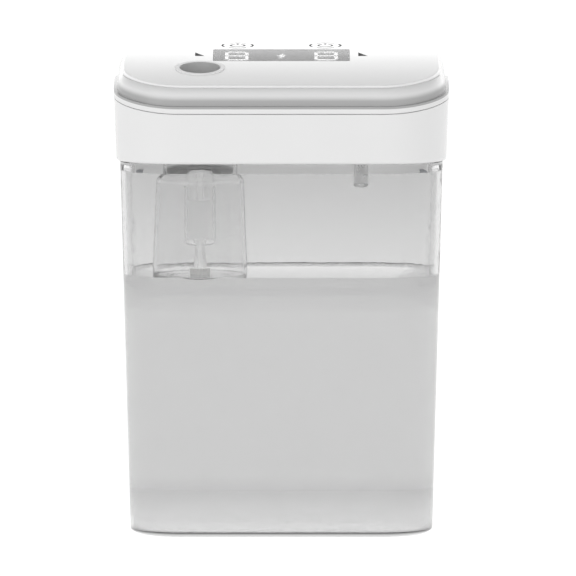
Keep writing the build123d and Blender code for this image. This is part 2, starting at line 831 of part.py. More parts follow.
# ---- Bubbler manifold: joins the sleeve, the feed and the bottle ----
spigot_bottom = plate_bottom - spigot_drop
ear_distance = manifold_radius + ear_gap + hose_radius
ear_x = bubbler_x + ear_distance
o_ring_low = spigot_bottom + o_ring_rise
channel_z = plate_top + manifold_floor / 2
with BuildPart() as bubbler_manifold:
    with BuildSketch(Plane.XY.offset(plate_top)):
        with Locations(rim_place):
            Circle(spigot_radius + manifold_rim)
        with Locations((ear_x, bubbler_y)):
            Circle(ear_radius)
    extrude(amount=manifold_floor)
    with BuildSketch(Plane.XY.offset(sleeve_bottom)):
        with Locations(rim_place):
            Circle(manifold_radius)
            Circle(port_outer + fit_gap, mode=Mode.SUBTRACT)
    extrude(amount=manifold_height - manifold_floor)
    with BuildSketch(Plane.XY.offset(spigot_bottom)):
        with Locations(rim_place):
            Circle(spigot_radius)
            Circle(spigot_radius - o_ring_depth - spigot_shell, mode=Mode.SUBTRACT)
            Circle(stem_top_radius + feed_boss_wall)
    extrude(amount=plate_top - spigot_bottom)
    with BuildSketch(Plane.XY.offset(o_ring_low)):
        with Locations(rim_place):
            Circle(spigot_radius + spigot_gap)
            Circle(spigot_radius - o_ring_depth, mode=Mode.SUBTRACT)
    extrude(amount=o_ring_height, mode=Mode.SUBTRACT)
    # gas ports up into the sleeve, feed bore down to the stem and cross channel from the ear
    with BuildSketch(Plane.XY.offset(spigot_bottom)):
        with Locations(rim_place):
            with PolarLocations(gas_port_circle, gas_port_count, start_angle=gas_port_turn):
                Circle(gas_port_radius)
    extrude(amount=above, mode=Mode.SUBTRACT)
    with BuildSketch(Plane.XY.offset(spigot_bottom)):
        with Locations(rim_place):
            Circle(feed_radius)
    extrude(amount=channel_z - spigot_bottom, mode=Mode.SUBTRACT)
    with BuildSketch(Plane.YZ.offset(bubbler_x)):
        with Locations((bubbler_y, channel_z)):
            Circle(barb_bore)
    extrude(amount=ear_distance, mode=Mode.SUBTRACT)
    add(barb(Plane(origin=(ear_x, bubbler_y, sleeve_bottom - barb_sink))))
    with BuildSketch(Plane.XY.offset(channel_z)):
        with Locations((ear_x, bubbler_y)):
            Circle(barb_bore)
    extrude(amount=manifold_floor, mode=Mode.SUBTRACT)
finish(bubbler_manifold, "bubbler_manifold")

with BuildPart() as bottle_seal:
    with BuildSketch(Plane.XY.offset(o_ring_low + running_gap)):
        with Locations(rim_place):
            Circle(neck_inner - running_gap)
            Circle(spigot_radius - o_ring_depth + running_gap, mode=Mode.SUBTRACT)
    extrude(amount=o_ring_height - 2 * running_gap)
    fillet(edges().group_by(SortBy.LENGTH)[-1], radius=o_ring_bend)
finish(bottle_seal, "bottle_seal")

# ---- Feed stem, its nut, the dip tube, nozzle and diffuser ----
stem_top = spigot_bottom
stem_bottom = stem_top - stem_length
nut_bottom = stem_top - stem_nut_height
with BuildPart() as feed_stem:
    with BuildSketch(Plane.XY.offset(stem_bottom)):
        with Locations(rim_place):
            Circle(stem_radius)
    extrude(amount=nut_bottom - stem_bottom)
    with BuildSketch(Plane.XY.offset(nut_bottom)):
        with Locations(rim_place):
            Circle(stem_top_radius)
    extrude(amount=stem_top - nut_bottom)
    fillet(edges().group_by(Axis.Z)[0], radius=stem_bend)
    with BuildSketch(Plane.XY.offset(stem_bottom)):
        with Locations(rim_place):
            Circle(feed_radius)
    extrude(amount=stem_length, mode=Mode.SUBTRACT)
finish(feed_stem, "feed_stem")

with BuildPart() as stem_nut:
    with BuildSketch(Plane.XY.offset(nut_bottom)):
        with Locations(rim_place):
            Circle(stem_nut_radius)
    extrude(amount=stem_nut_height)
    chamfer(edges().group_by(Axis.Z)[0] + edges().group_by(Axis.Z)[-1], length=small_chamfer)
    with BuildSketch(Plane.XY.offset(nut_bottom)):
        with Locations(rim_place):
            Circle(stem_top_radius + running_gap)
    extrude(amount=stem_nut_height, mode=Mode.SUBTRACT)
finish(stem_nut, "stem_nut")

dip_bore = stem_radius + running_gap
nozzle_hole = nozzle_top_radius + running_gap
with BuildPart() as dip_tube:
    with BuildSketch(Plane.XY.offset(dip_bottom)):
        with Locations(rim_place):
            Circle(dip_radius)
    extrude(amount=dip_top - dip_bottom)
    fillet(edges().group_by(Axis.Z)[0], radius=dip_bend)
    with BuildSketch(Plane.XY.offset(dip_bottom + 2 * dip_wall)):
        with Locations(rim_place):
            Circle(dip_bore)
    extrude(amount=dip_top, mode=Mode.SUBTRACT)
    with BuildSketch(Plane.XY.offset(dip_bottom)):
        with Locations(rim_place):
            Circle(nozzle_hole)
    extrude(amount=dip_top, mode=Mode.SUBTRACT)
finish(dip_tube, "dip_tube")

nozzle_tip = dip_bottom - nozzle_length
with BuildPart() as bubble_nozzle:
    with BuildSketch(bubbler_plane):
        with BuildLine():
            Polyline(
                (nozzle_bore, nozzle_tip),
                (nozzle_tip_radius, nozzle_tip),
                (nozzle_tip_radius, nozzle_tip + nozzle_collar),
                (nozzle_top_radius, dip_bottom - nozzle_collar),
                (nozzle_top_radius, dip_bottom + 2 * dip_wall),
                (nozzle_bore, dip_bottom + 2 * dip_wall),
                close=True,
            )
        make_face()
    revolve(axis=bubbler_axis)
finish(bubble_nozzle, "bubble_nozzle")

star_tips = []
for turn in range(2 * diffuser_points):
    reach_out = diffuser_core if turn % 2 else diffuser_radius
    angle = math.pi * turn / diffuser_points
    star_tips.append((reach_out * math.cos(angle), reach_out * math.sin(angle)))
with BuildPart() as diffuser:
    with BuildSketch(Plane.XY.offset(nozzle_tip - diffuser_height)):
        with Locations(rim_place):
            with BuildSketch(mode=Mode.PRIVATE) as star:
                with BuildLine():
                    Polyline(*star_tips, close=True)
                make_face()
            add(star.sketch)
    extrude(amount=diffuser_height)
    chamfer(edges().group_by(Axis.Z)[0], length=small_chamfer)
finish(diffuser, "diffuser")

# ---- Bubbler bottle ----
bottle_top = plate_bottom - seal_thickness / 2
inner_floor = bottle_bottom + bottle_wall
with BuildPart() as bubbler_bottle:
    with BuildSketch(bubbler_plane):
        with BuildLine():
            FilletPolyline(
                (bottle_neck_radius, bottle_top),
                (bottle_neck_radius, bottle_neck_low),
                (bottle_shoulder_radius, bottle_shoulder_low),
                (bottle_foot_radius, bottle_bottom),
                (0, bottle_bottom),
                radius=[bottle_bend, bottle_bend, bottle_foot_bend],
            )
            FilletPolyline(
                (0, inner_floor),
                (bottle_foot_radius - bottle_wall, inner_floor),
                (bottle_shoulder_radius - bottle_wall, bottle_shoulder_low - bottle_wall / 3),
                (neck_inner, bottle_neck_low - bottle_wall / 3),
                (neck_inner, bottle_top),
                radius=[bottle_foot_bend - bottle_wall, bottle_bend, bottle_bend],
            )
            Line((neck_inner, bottle_top), (bottle_neck_radius, bottle_top))
            Line((0, bottle_bottom), (0, inner_floor))
        make_face()
    revolve(axis=bubbler_axis)
    with BuildSketch(Plane.XY.offset(bottle_bottom)):
        with Locations(rim_place):
            with PolarLocations(bottle_port_circle, bottle_port_count):
                Circle(bottle_port_radius)
    extrude(amount=2 * bottle_wall, mode=Mode.SUBTRACT)
finish(bubbler_bottle, "bubbler_bottle")

# ---- Tank vent: a barb in the base plate and the soft tube that hangs from it ----
with BuildPart() as vent_barb:
    with BuildSketch(Plane.XY.offset(plate_bottom - vent_barb_length)):
        with Locations((vent_x, bubbler_y)):
            Circle(barb_radius)
    extrude(amount=vent_barb_length + plate_thickness)
    with BuildSketch(Plane.XY.offset(plate_top)):
        with Locations((vent_x, bubbler_y)):
            RegularPolygon(vent_flange_radius, 6)
    extrude(amount=vent_flange_height)
    with BuildSketch(Plane.XY.offset(plate_bottom - vent_barb_length)):
        with Locations((vent_x, bubbler_y)):
            Circle(barb_bore)
    extrude(amount=above, mode=Mode.SUBTRACT)
finish(vent_barb, "vent_barb")

vent_cut = Plane(origin=(vent_x, bubbler_y, vent_tube_end + vent_cut_rise))
vent_cut = vent_cut.rotated((-vent_cut_angle, 0, 0))
with BuildPart() as vent_tube:
    with BuildSketch(Plane.XY.offset(vent_tube_end - 2 * vent_tube_radius)):
        with Locations((vent_x, bubbler_y)):
            Circle(vent_tube_radius)
            Circle(vent_bore_radius, mode=Mode.SUBTRACT)
    extrude(amount=plate_bottom - running_gap - vent_tube_end + 2 * vent_tube_radius)
    split(bisect_by=vent_cut, keep=Keep.TOP)
finish(vent_tube, "vent_tube")

# ---- Sieve canisters, valve block, solenoids and product block ----
for letter, row_y in zip("ab", canister_ys):
    with BuildPart() as canister:
        with BuildSketch(Plane.YZ.offset(canister_left)):
            with Locations((row_y, canister_z)):
                Circle(canister_radius)
        extrude(amount=canister_length)
        fillet(edges(), radius=canister_bend)
        for end in (canister_left + canister_cap, canister_right - canister_cap):
            with BuildSketch(Plane.YZ.offset(end - canister_groove[0] / 2)):
                with Locations((row_y, canister_z)):
                    Circle(canister_radius + canister_groove[1])
                    Circle(canister_radius - canister_groove[1], mode=Mode.SUBTRACT)
            extrude(amount=canister_groove[0], mode=Mode.SUBTRACT)
    finish(canister, f"sieve_canister_{letter}")

valve_x = canister_left - valve_block_width / 2
valve_low = flange_top + seat_gap
valve_top = plate_top + valve_block_height
valve_front = canister_ys[0] - valve_margins[0]
valve_rear = solenoid_ys[1] + valve_margins[1]
hose_z = valve_top + valve_tower_height - hose_drop
tower_face = valve_x + valve_tower_size / 2
with BuildPart() as valve_block:
    with BuildSketch(Plane.XY.offset(valve_low)):
        with Locations((valve_x, (valve_front + valve_rear) / 2)):
            RectangleRounded(valve_block_width, valve_rear - valve_front, block_corner)
    extrude(amount=valve_top - valve_low)
    with BuildSketch(Plane.XY.offset(valve_top)):
        with Locations((valve_x, canister_ys[0])):
            RectangleRounded(valve_tower_size, valve_tower_size, small_corner)
    extrude(amount=valve_tower_height)
    with BuildSketch(Plane.XY.offset(valve_top - plunger_length)):
        with Locations(*[(valve_x, y) for y in solenoid_ys]):
            Circle(plunger_radius + running_gap)
    extrude(amount=above, mode=Mode.SUBTRACT)
    tower_port = (tower_face - barb_sink, canister_ys[0], hose_z)
    add(barb(Plane(origin=tower_port, x_dir=(0, 1, 0), z_dir=(1, 0, 0))))
finish(valve_block, "valve_block")

plunger_low = valve_top - plunger_length + fit_gap
for side, coil_y in zip(("front", "rear"), solenoid_ys):
    with BuildPart() as solenoid:
        with BuildSketch(Plane.XY.offset(valve_top)):
            with Locations((valve_x, coil_y)):
                Circle(solenoid_radius)
        extrude(amount=solenoid_height)
        fillet(edges().group_by(Axis.Z)[-1], radius=solenoid_bend)
        with BuildSketch(Plane.XY.offset(valve_top)):
            with Locations((valve_x, coil_y)):
                Circle(plunger_radius + running_gap)
        extrude(amount=solenoid_height - solenoid_cap, mode=Mode.SUBTRACT)
    finish(solenoid, f"solenoid_{side}")
    with BuildPart() as plunger:
        with BuildSketch(Plane.XY.offset(plunger_low)):
            with Locations((valve_x, coil_y)):
                Circle(plunger_radius)
        extrude(amount=plunger_length + solenoid_height - solenoid_cap - plunger_travel - 3 * fit_gap)
        chamfer(edges().group_by(Axis.Z)[-1], length=plunger_chamfer)
    finish(plunger, f"valve_plunger_{side}")

product_x = canister_right + product_block_length / 2
product_front = canister_ys[0] - product_block_margin
product_rear = canister_ys[1] + product_block_margin
with BuildPart() as product_block:
    with BuildSketch(Plane.XY.offset(plate_top)):
        with Locations((product_x, (product_front + product_rear) / 2)):
            RectangleRounded(product_block_length, product_rear - product_front, small_corner)
    extrude(amount=canister_z - plate_top + product_block_rise)
    product_port = (product_x, product_front + barb_sink, canister_z)
    add(barb(Plane(origin=product_port, x_dir=(1, 0, 0), z_dir=(0, -1, 0))))
finish(product_block, "product_block")

# ---- Product reservoir ----
reservoir_top = plate_top + reservoir_height
reservoir_out_x = product_x - reservoir_port
with BuildPart() as reservoir:
    with BuildSketch(Plane.XY.offset(plate_top)):
        with Locations((product_x, reservoir_y)):
            Circle(reservoir_radius)
    extrude(amount=reservoir_height)
    fillet(edges().group_by(Axis.Z)[-1], radius=reservoir_bend)
    reservoir_back = reservoir_y + reservoir_radius - 2 * barb_sink
    add(barb(Plane(origin=(product_x, reservoir_back, canister_z), x_dir=(1, 0, 0), z_dir=(0, 1, 0))))
    add(barb(Plane(origin=(reservoir_out_x, reservoir_y, reservoir_top - barb_sink))))
finish(reservoir, "reservoir")

# ---- Compressor: a linear motor drives one free piston ----
comp_low = plate_top + mount_height
comp_z = comp_low + compressor_height / 2
comp_right = compressor_x + compressor_length
comp_plan = (compressor_y, comp_z)
comp_section = (compressor_depth, compressor_height, compressor_corner)
bolt_reach_y = compressor_depth / 2 - compressor_bolt_inset
bolt_reach_z = compressor_height / 2 - compressor_bolt_inset
corner_bolts = [
    (compressor_y + side_y * bolt_reach_y, comp_z + side_z * bolt_reach_z)
    for side_y in (-1, 1)
    for side_z in (-1, 1)
]
with BuildPart() as compressor_housing:
    with BuildSketch(Plane.YZ.offset(compressor_x)):
        with Locations(comp_plan):
            RectangleRounded(*comp_section)
            Circle(compressor_bore, mode=Mode.SUBTRACT)
        with Locations(*corner_bolts):
            Circle(screw_radius, mode=Mode.SUBTRACT)
    extrude(amount=compressor_length)
    # cooling fins cut round the middle
    fin_core_depth = compressor_depth - 2 * fin_depths[0]
    fin_core_height = compressor_height - 2 * fin_depths[1]
    for fin in range(fin_count):
        with BuildSketch(Plane.YZ.offset(compressor_x + fin_start + fin * fin_pitch)):
            with Locations(comp_plan):
                Rectangle(2 * compressor_depth, 2 * compressor_height)
                RectangleRounded(fin_core_depth, fin_core_height, compressor_corner, mode=Mode.SUBTRACT)
                with Locations((0, -compressor_height / 2)):
                    Rectangle(3 * compressor_depth, 2 * foot_rail, mode=Mode.SUBTRACT)
        extrude(amount=fin_groove, mode=Mode.SUBTRACT)
finish(compressor_housing, "compressor_housing")

with BuildPart() as compressor_mounts:
    with BuildSketch(Plane.XY.offset(plate_top)):
        with Locations(((compressor_x + comp_right) / 2, compressor_y)):
            mount_span = (compressor_length - 2 * mount_inset, compressor_depth - 2 * mount_inset)
            with GridLocations(*mount_span, 2, 2):
                Circle(mount_radius)
    extrude(amount=mount_height)
finish(compressor_mounts, "compressor_mounts")

with BuildPart() as cylinder_liner:
    with BuildSketch(Plane.YZ.offset(compressor_x)):
        with Locations(comp_plan):
            Circle(compressor_bore - running_gap)
            Circle(piston_radius + running_gap, mode=Mode.SUBTRACT)
    extrude(amount=liner_length)
finish(cylinder_liner, "cylinder_liner")

coil_start = compressor_x + liner_length + coil_gap
with BuildPart() as stator_coil:
    with BuildSketch(Plane.YZ.offset(coil_start)):
        with Locations(comp_plan):
            Circle(compressor_bore - running_gap)
            Circle(armature_radius + armature_gap, mode=Mode.SUBTRACT)
    extrude(amount=coil_length)
finish(stator_coil, "stator_coil")

piston_start = compressor_x + piston_gap
armature_start = coil_start + (coil_length - armature_length) / 2
rod_end = comp_right + end_cap_length - rod_margin
with BuildPart() as piston:
    with BuildSketch(Plane.YZ.offset(piston_start)):
        with Locations(comp_plan):
            Circle(piston_radius)
    extrude(amount=piston_head_length)
    with BuildSketch(Plane.YZ.offset(piston_start)):
        with Locations(comp_plan):
            Circle(rod_radius)
    extrude(amount=rod_end - piston_start)
    with BuildSketch(Plane.YZ.offset(armature_start)):
        with Locations(comp_plan):
            Circle(armature_radius)
    extrude(amount=armature_length)
    chamfer(faces().sort_by(Axis.X)[0].edges(), length=piston_chamfer)
finish(piston, "piston")

comp_head_x = compressor_x - reed_thickness - head_plate_length
intake_barb_y = compressor_y + intake_barb_shift
head_barbs = (canister_ys[0], intake_barb_y)
with BuildPart() as compressor_head:
    with BuildSketch(Plane.YZ.offset(comp_head_x)):
        with Locations(comp_plan):
            RectangleRounded(*comp_section)
        with Locations(*corner_bolts):
            Circle(screw_radius, mode=Mode.SUBTRACT)
    extrude(amount=head_plate_length)
    for barb_y in head_barbs:
        head_port = (comp_head_x + barb_sink, barb_y, hose_z)
        add(barb(Plane(origin=head_port, x_dir=(0, 1, 0), z_dir=(-1, 0, 0))))
finish(compressor_head, "compressor_head")

with BuildPart() as reed_plate:
    with BuildSketch(Plane.YZ.offset(compressor_x - reed_thickness)):
        with Locations(comp_plan):
            RectangleRounded(*comp_section)
            with Locations((0, reed_shift), (0, -reed_shift)):
                SlotOverall(*reed_size, mode=Mode.SUBTRACT)
        with Locations(*corner_bolts):
            Circle(screw_radius, mode=Mode.SUBTRACT)
    extrude(amount=reed_thickness)
finish(reed_plate, "reed_plate")

with BuildPart() as compressor_end_cap:
    with BuildSketch(Plane.YZ.offset(comp_right)):
        with Locations(comp_plan):
            RectangleRounded(*comp_section)
            Circle(rod_radius + running_gap, mode=Mode.SUBTRACT)
    extrude(amount=end_cap_length)
finish(compressor_end_cap, "compressor_end_cap")

with BuildPart() as compressor_screws:
    with BuildSketch(Plane.YZ.offset(comp_head_x)):
        with Locations(*corner_bolts):
            Circle(screw_radius)
    extrude(amount=head_plate_length + reed_thickness + screw_bite)
    with BuildSketch(Plane.YZ.offset(comp_head_x - screw_head_height)):
        with Locations(*corner_bolts):
            Circle(screw_head_radius)
    extrude(amount=screw_head_height)
finish(compressor_screws, "compressor_screws")


# ---- Silicone hoses ----
def hose(points, bends, name):
    with BuildPart() as tube:
        with BuildLine() as route:
            if bends:
                FilletPolyline(*points, radius=bends)
            else:
                Line(*points)
        start = route.line @ 0
        heading = route.line % 0
        with BuildSketch(Plane(origin=start, z_dir=heading)):
            Circle(hose_radius)
            Circle(hose_bore, mode=Mode.SUBTRACT)
        sweep(path=route.line)
    finish(tube, name)


hose(
    [
        (tower_face + hose_end, canister_ys[0], hose_z),
        (comp_head_x - hose_end, canister_ys[0], hose_z),
    ],
    None,
    "pressure_hose",
)
hose(
    [
        (product_x, product_front - hose_end, canister_z),
        (product_x, reservoir_back + 3 * hose_end, canister_z),
    ],
    None,
    "product_hose",
)
bridge_z = reservoir_top + bridge_rise
hose(
    [
        (reservoir_out_x, reservoir_y, reservoir_top + hose_end),
        (reservoir_out_x, reservoir_y, bridge_z),
        (ear_x, bubbler_y, bridge_z),
        (ear_x, bubbler_y, sleeve_bottom + hose_end),
    ],
    oxygen_bends,
    "oxygen_hose",
)

# ---- Intake filter: box inside the rear wall, foam and the cover that pulls out ----
wall_face = head_plan(plate_top + lug_thickness)[1] / 2 - casing_wall
box_back = head_plan(skirt_bottom)[1] / 2 - tongue_inset - tongue_wall - fit_gap
box_front = canister_ys[1] + canister_radius + filter_box_gap
filter_box_depth = box_back - box_front
box_low = filter_level - filter_height / 2 - filter_box_margin
filter_barb_x = filter_x + filter_width / 2 - filter_barb_inset
box_top = hose_z + filter_box_roof
foam_edge = filter_box_lip + filter_foam_gap
with BuildPart() as filter_box:
    with BuildSketch(Plane.XZ.offset(-box_front)):
        with Locations((filter_x, (box_low + box_top) / 2)):
            Rectangle(filter_width + 2 * filter_box_margin, box_top - box_low)
    extrude(amount=-filter_box_depth)
    with BuildSketch(Plane.XZ.offset(-box_front - filter_box_floor)):
        with Locations((filter_x, filter_level)):
            Rectangle(filter_width - 2 * filter_box_lip, filter_height - 2 * filter_box_lip)
    extrude(amount=-filter_box_depth, mode=Mode.SUBTRACT)
    filter_port = (filter_barb_x, box_front + barb_sink, hose_z)
    add(barb(Plane(origin=filter_port, x_dir=(1, 0, 0), z_dir=(0, -1, 0))))
finish(filter_box, "filter_box")

with BuildPart() as intake_filter:
    with BuildSketch(Plane.XZ.offset(-box_front - filter_box_floor - fit_gap)):
        with Locations((filter_x, filter_level)):
            Rectangle(filter_width - 2 * foam_edge, filter_height - 2 * foam_edge)
    extrude(amount=-(filter_box_depth - filter_box_floor - 2 * fit_gap))
finish(intake_filter, "intake_filter")

cover_outer = head_plan(filter_level + filter_height / 2)[1] / 2
cover_size = (
    filter_width - 2 * filter_cover_gap,
    filter_height - 2 * filter_cover_gap,
    filter_corner - filter_cover_gap,
)
with BuildPart() as filter_cover:
    with BuildSketch(Plane.XZ.offset(-wall_face - filter_cover_gap)):
        with Locations((filter_x, filter_level)):
            RectangleRounded(*cover_size)
    extrude(amount=-(cover_outer - wall_face - filter_cover_gap))
    fillet(faces().sort_by(Axis.Y)[-1].edges(), radius=filter_cover_bend)
    with BuildSketch(Plane.XZ.offset(-wall_face)):
        with Locations((filter_x, filter_level)):
            with GridLocations(grille_pitch, 1, filter_slots, 1):
                SlotOverall(filter_height - 2 * grille_margin, grille_slot, rotation=90)
    extrude(amount=-(casing_wall + wall_overcut), mode=Mode.SUBTRACT)
finish(filter_cover, "filter_cover")

hose(
    [
        (filter_barb_x, box_front - hose_end, hose_z),
        (filter_barb_x, intake_barb_y, hose_z),
        (comp_head_x - hose_end, intake_barb_y, hose_z),
    ],
    intake_bends,
    "intake_hose",
)

# ---- Cooling fan ----
fan_back = box_back
fan_front = fan_back - fan_depth
fan_plan = (fan_x, fan_z)
fan_hub_depth = fan_depth - fan_spoke - 2.5 * fan_face_gap
fan_hole_pitch = fan_size - 2 * fan_hole_inset
spoke_length = fan_bore - fan_hub_radius + 2 * fan_tip_gap
spoke_middle = (fan_bore + fan_hub_radius) / 2
with BuildPart() as fan_frame:
    with BuildSketch(Plane.XZ.offset(-fan_front)):
        with Locations(fan_plan):
            RectangleRounded(fan_size, fan_size, block_corner)
            Circle(fan_bore, mode=Mode.SUBTRACT)
            with GridLocations(fan_hole_pitch, fan_hole_pitch, 2, 2):
                Circle(screw_radius, mode=Mode.SUBTRACT)
    extrude(amount=-fan_depth)
    with BuildSketch(Plane.XZ.offset(-fan_back + fan_spoke)):
        with Locations(fan_plan):
            Circle(fan_hub_radius)
            with PolarLocations(spoke_middle, 3):
                Rectangle(spoke_length, fan_spoke)
    extrude(amount=-fan_spoke)
    with BuildSketch(Plane.XZ.offset(-fan_back + fan_spoke)):
        with Locations(fan_plan):
            Circle(fan_shaft_radius + running_gap)
    extrude(amount=-fan_spoke, mode=Mode.SUBTRACT)
finish(fan_frame, "fan_frame")

blade_root = fan_hub_radius - fan_blade_root
blade_reach = fan_bore - fan_tip_gap
blade_mid = (blade_root + blade_reach) / 2
blade_y = fan_front + fan_face_gap + fan_hub_depth / 2
with BuildPart() as fan_rotor:
    with BuildSketch(Plane.XZ.offset(-fan_front - fan_face_gap)):
        with Locations(fan_plan):
            Circle(fan_hub_radius)
    extrude(amount=-fan_hub_depth)
    for blade in range(fan_blades):
        turn = 2 * math.pi * blade / fan_blades
        out = (math.cos(turn), 0, math.sin(turn))
        blade_centre = (fan_x + blade_mid * out[0], blade_y, fan_z + blade_mid * out[2])
        blade_place = Plane(origin=blade_centre, x_dir=out, z_dir=(0, 1, 0)).rotated((fan_blade_pitch, 0, 0))
        with BuildSketch(blade_place):
            Rectangle(blade_reach - blade_root, fan_blade_chord)
        extrude(amount=fan_blade_half, both=True)
    with BuildSketch(Plane.XZ.offset(-fan_front - fan_face_gap)):
        with Locations(fan_plan):
            Circle(fan_shaft_radius)
    extrude(amount=-(fan_depth - 2 * fan_face_gap))
finish(fan_rotor, "fan_rotor")

# ---- Charging socket ----
socket_back = wall_face - fit_gap
with BuildPart() as charge_socket:
    with BuildSketch(Plane.XZ.offset(-socket_back + socket_depth)):
        with Locations((socket_x, socket_z)):
            RectangleRounded(socket_size, socket_size, socket_corner)
    extrude(amount=-socket_depth)
    with BuildSketch(Plane.XZ.offset(-socket_back + socket_hole)):
        with Locations((socket_x, socket_z)):
            Circle(socket_bore)
            Circle(socket_pin, mode=Mode.SUBTRACT)
    extrude(amount=-socket_depth, mode=Mode.SUBTRACT)
finish(charge_socket, "charge_socket")

# ---- Battery pack, main board and what is soldered to it ----
with BuildPart() as battery_pack:
    with BuildSketch(Plane.XY.offset(plate_top)):
        with Locations((battery_x, battery_y)):
            RectangleRounded(battery_width, battery_depth, block_corner)
    extrude(amount=battery_height)
    fillet(edges().group_by(Axis.Z)[0] + edges().group_by(Axis.Z)[-1], radius=battery_bend)
finish(battery_pack, "battery_pack")

board_low = plate_top + main_board_lift
with BuildPart() as main_board:
    with BuildSketch(Plane.XY.offset(board_low)):
        with Locations((battery_x, battery_y)):
            RectangleRounded(main_board_width, main_board_depth, small_corner)
    extrude(amount=board_thickness)
finish(main_board, "main_board")

board_top = board_low + board_thickness
with BuildPart() as board_components:
    with BuildSketch(Plane.XY.offset(board_top)):
        for place, size in chips:
            with Locations((battery_x + place[0], battery_y + place[1])):
                Rectangle(*size)
    extrude(amount=chip_height)
    with BuildSketch(Plane.XY.offset(board_top)):
        for place in capacitor_places:
            with Locations((battery_x + place[0], battery_y + place[1])):
                Circle(capacitor_radius)
    extrude(amount=capacitor_height)
finish(board_components, "board_components")

# ---- Screws ----
with BuildPart() as plate_screw_set:
    with BuildSketch(Plane.XY.offset(plate_bottom)):
        with Locations(*plate_screws):
            Circle(screw_radius)
    extrude(amount=plate_thickness + flange_thickness)
    with BuildSketch(Plane.XY.offset(plate_bottom - screw_head_height)):
        with Locations(*plate_screws):
            Circle(screw_head_radius)
    extrude(amount=screw_head_height)
finish(plate_screw_set, "plate_screws")

with BuildPart() as cover_screw_set:
    with BuildSketch(Plane.XY.offset(plate_top + screw_recess)):
        with Locations(*cover_posts):
            Circle(screw_radius)
    extrude(amount=lug_thickness - screw_recess + post_gap + screw_bite)
    with BuildSketch(Plane.XY.offset(plate_top + screw_recess - screw_head_height)):
        with Locations(*cover_posts):
            Circle(screw_head_radius)
    extrude(amount=screw_head_height)
finish(cover_screw_set, "cover_screws")
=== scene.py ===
import bpy
import math
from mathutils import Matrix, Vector


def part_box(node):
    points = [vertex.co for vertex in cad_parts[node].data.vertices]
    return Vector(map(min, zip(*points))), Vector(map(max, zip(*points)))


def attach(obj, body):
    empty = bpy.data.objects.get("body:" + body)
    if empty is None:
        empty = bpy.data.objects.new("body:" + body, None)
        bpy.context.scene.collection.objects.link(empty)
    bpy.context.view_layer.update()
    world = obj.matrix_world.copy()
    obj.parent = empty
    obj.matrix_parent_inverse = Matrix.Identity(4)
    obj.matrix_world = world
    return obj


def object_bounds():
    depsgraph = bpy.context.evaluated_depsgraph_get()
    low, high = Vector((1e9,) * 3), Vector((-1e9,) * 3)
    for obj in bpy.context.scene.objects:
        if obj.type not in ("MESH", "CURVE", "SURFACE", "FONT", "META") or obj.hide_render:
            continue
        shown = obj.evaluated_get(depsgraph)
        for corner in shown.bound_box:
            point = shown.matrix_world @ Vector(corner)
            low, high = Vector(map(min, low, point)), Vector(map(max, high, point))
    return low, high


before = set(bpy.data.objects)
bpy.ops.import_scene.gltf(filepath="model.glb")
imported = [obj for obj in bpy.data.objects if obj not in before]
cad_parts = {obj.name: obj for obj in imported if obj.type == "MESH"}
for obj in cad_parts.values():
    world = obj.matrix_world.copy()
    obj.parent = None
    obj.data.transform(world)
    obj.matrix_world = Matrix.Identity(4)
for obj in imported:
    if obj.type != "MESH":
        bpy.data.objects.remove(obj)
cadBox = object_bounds()
mm = 0.001
print("frame loaded:", len(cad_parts), "nodes")


def linear(hexColour):
    # sRGB hex to the linear colour that shaders take
    channels = [int(hexColour[i:i + 2], 16) / 255 for i in (1, 3, 5)]
    return [c / 12.92 if c <= 0.04045 else ((c + 0.055) / 1.055) ** 2.4 for c in channels] + [1.0]


def addNode(tree, kind, settings=None, links=None):
    node = tree.nodes.new(kind)
    for key, value in (settings or {}).items():
        if isinstance(key, str) and hasattr(node, key):
            setattr(node, key, value)
        else:
            node.inputs[key].default_value = value
    for key, source in (links or {}).items():
        tree.links.new(source, node.inputs[key])
    return node


def meshPiece(name, points, faces, material):
    mesh = bpy.data.meshes.new(name)
    mesh.from_pydata(points, [], faces)
    mesh.validate()
    mesh.materials.append(material)
    for face in mesh.polygons:
        face.use_smooth = True
    piece = bpy.data.objects.new(name, mesh)
    bpy.context.scene.collection.objects.link(piece)
    return piece


def roundedRing(width, depth, radius, z, steps=14):
    # points of a rounded rectangle, anticlockwise from above
    ring = []
    for quarter, (sx, sy) in enumerate([(1, 1), (-1, 1), (-1, -1), (1, -1)]):
        for step in range(steps + 1):
            angle = math.pi / 2 * (quarter + step / steps)
            x = sx * (width / 2 - radius) + radius * math.cos(angle)
            y = sy * (depth / 2 - radius) + radius * math.sin(angle)
            ring.append((x, y, z))
    return ring


viewpoint = {
    "elevation": 5.0,
    "distance": 5.0,
    "lens": 569.0,
    "sensor": 36.0,
    "aimRight": 0.0036,
    "farthest": 200,
    "bounces": 28,  # light crosses four clear walls and the water, each with two faces
}
aim = Vector((viewpoint["aimRight"], 0, (cadBox[0].z + cadBox[1].z) / 2))
tilt = math.radians(viewpoint["elevation"])
back = Vector((0, -math.cos(tilt), math.sin(tilt)))
cameraData = bpy.data.cameras.new("camera")
cameraData.lens = viewpoint["lens"]
cameraData.sensor_width = viewpoint["sensor"]
cameraData.clip_end = viewpoint["farthest"]
camera = bpy.data.objects.new("camera", cameraData)
camera.location = aim + back * viewpoint["distance"]
camera.rotation_euler = (-back).to_track_quat("-Z", "Y").to_euler()
bpy.context.scene.collection.objects.link(camera)
bpy.context.scene.camera = camera
bpy.context.scene.view_settings.view_transform = "Standard"
bpy.context.scene.cycles.max_bounces = viewpoint["bounces"]
bpy.context.scene.cycles.transmission_bounces = viewpoint["bounces"]
print("camera placed")

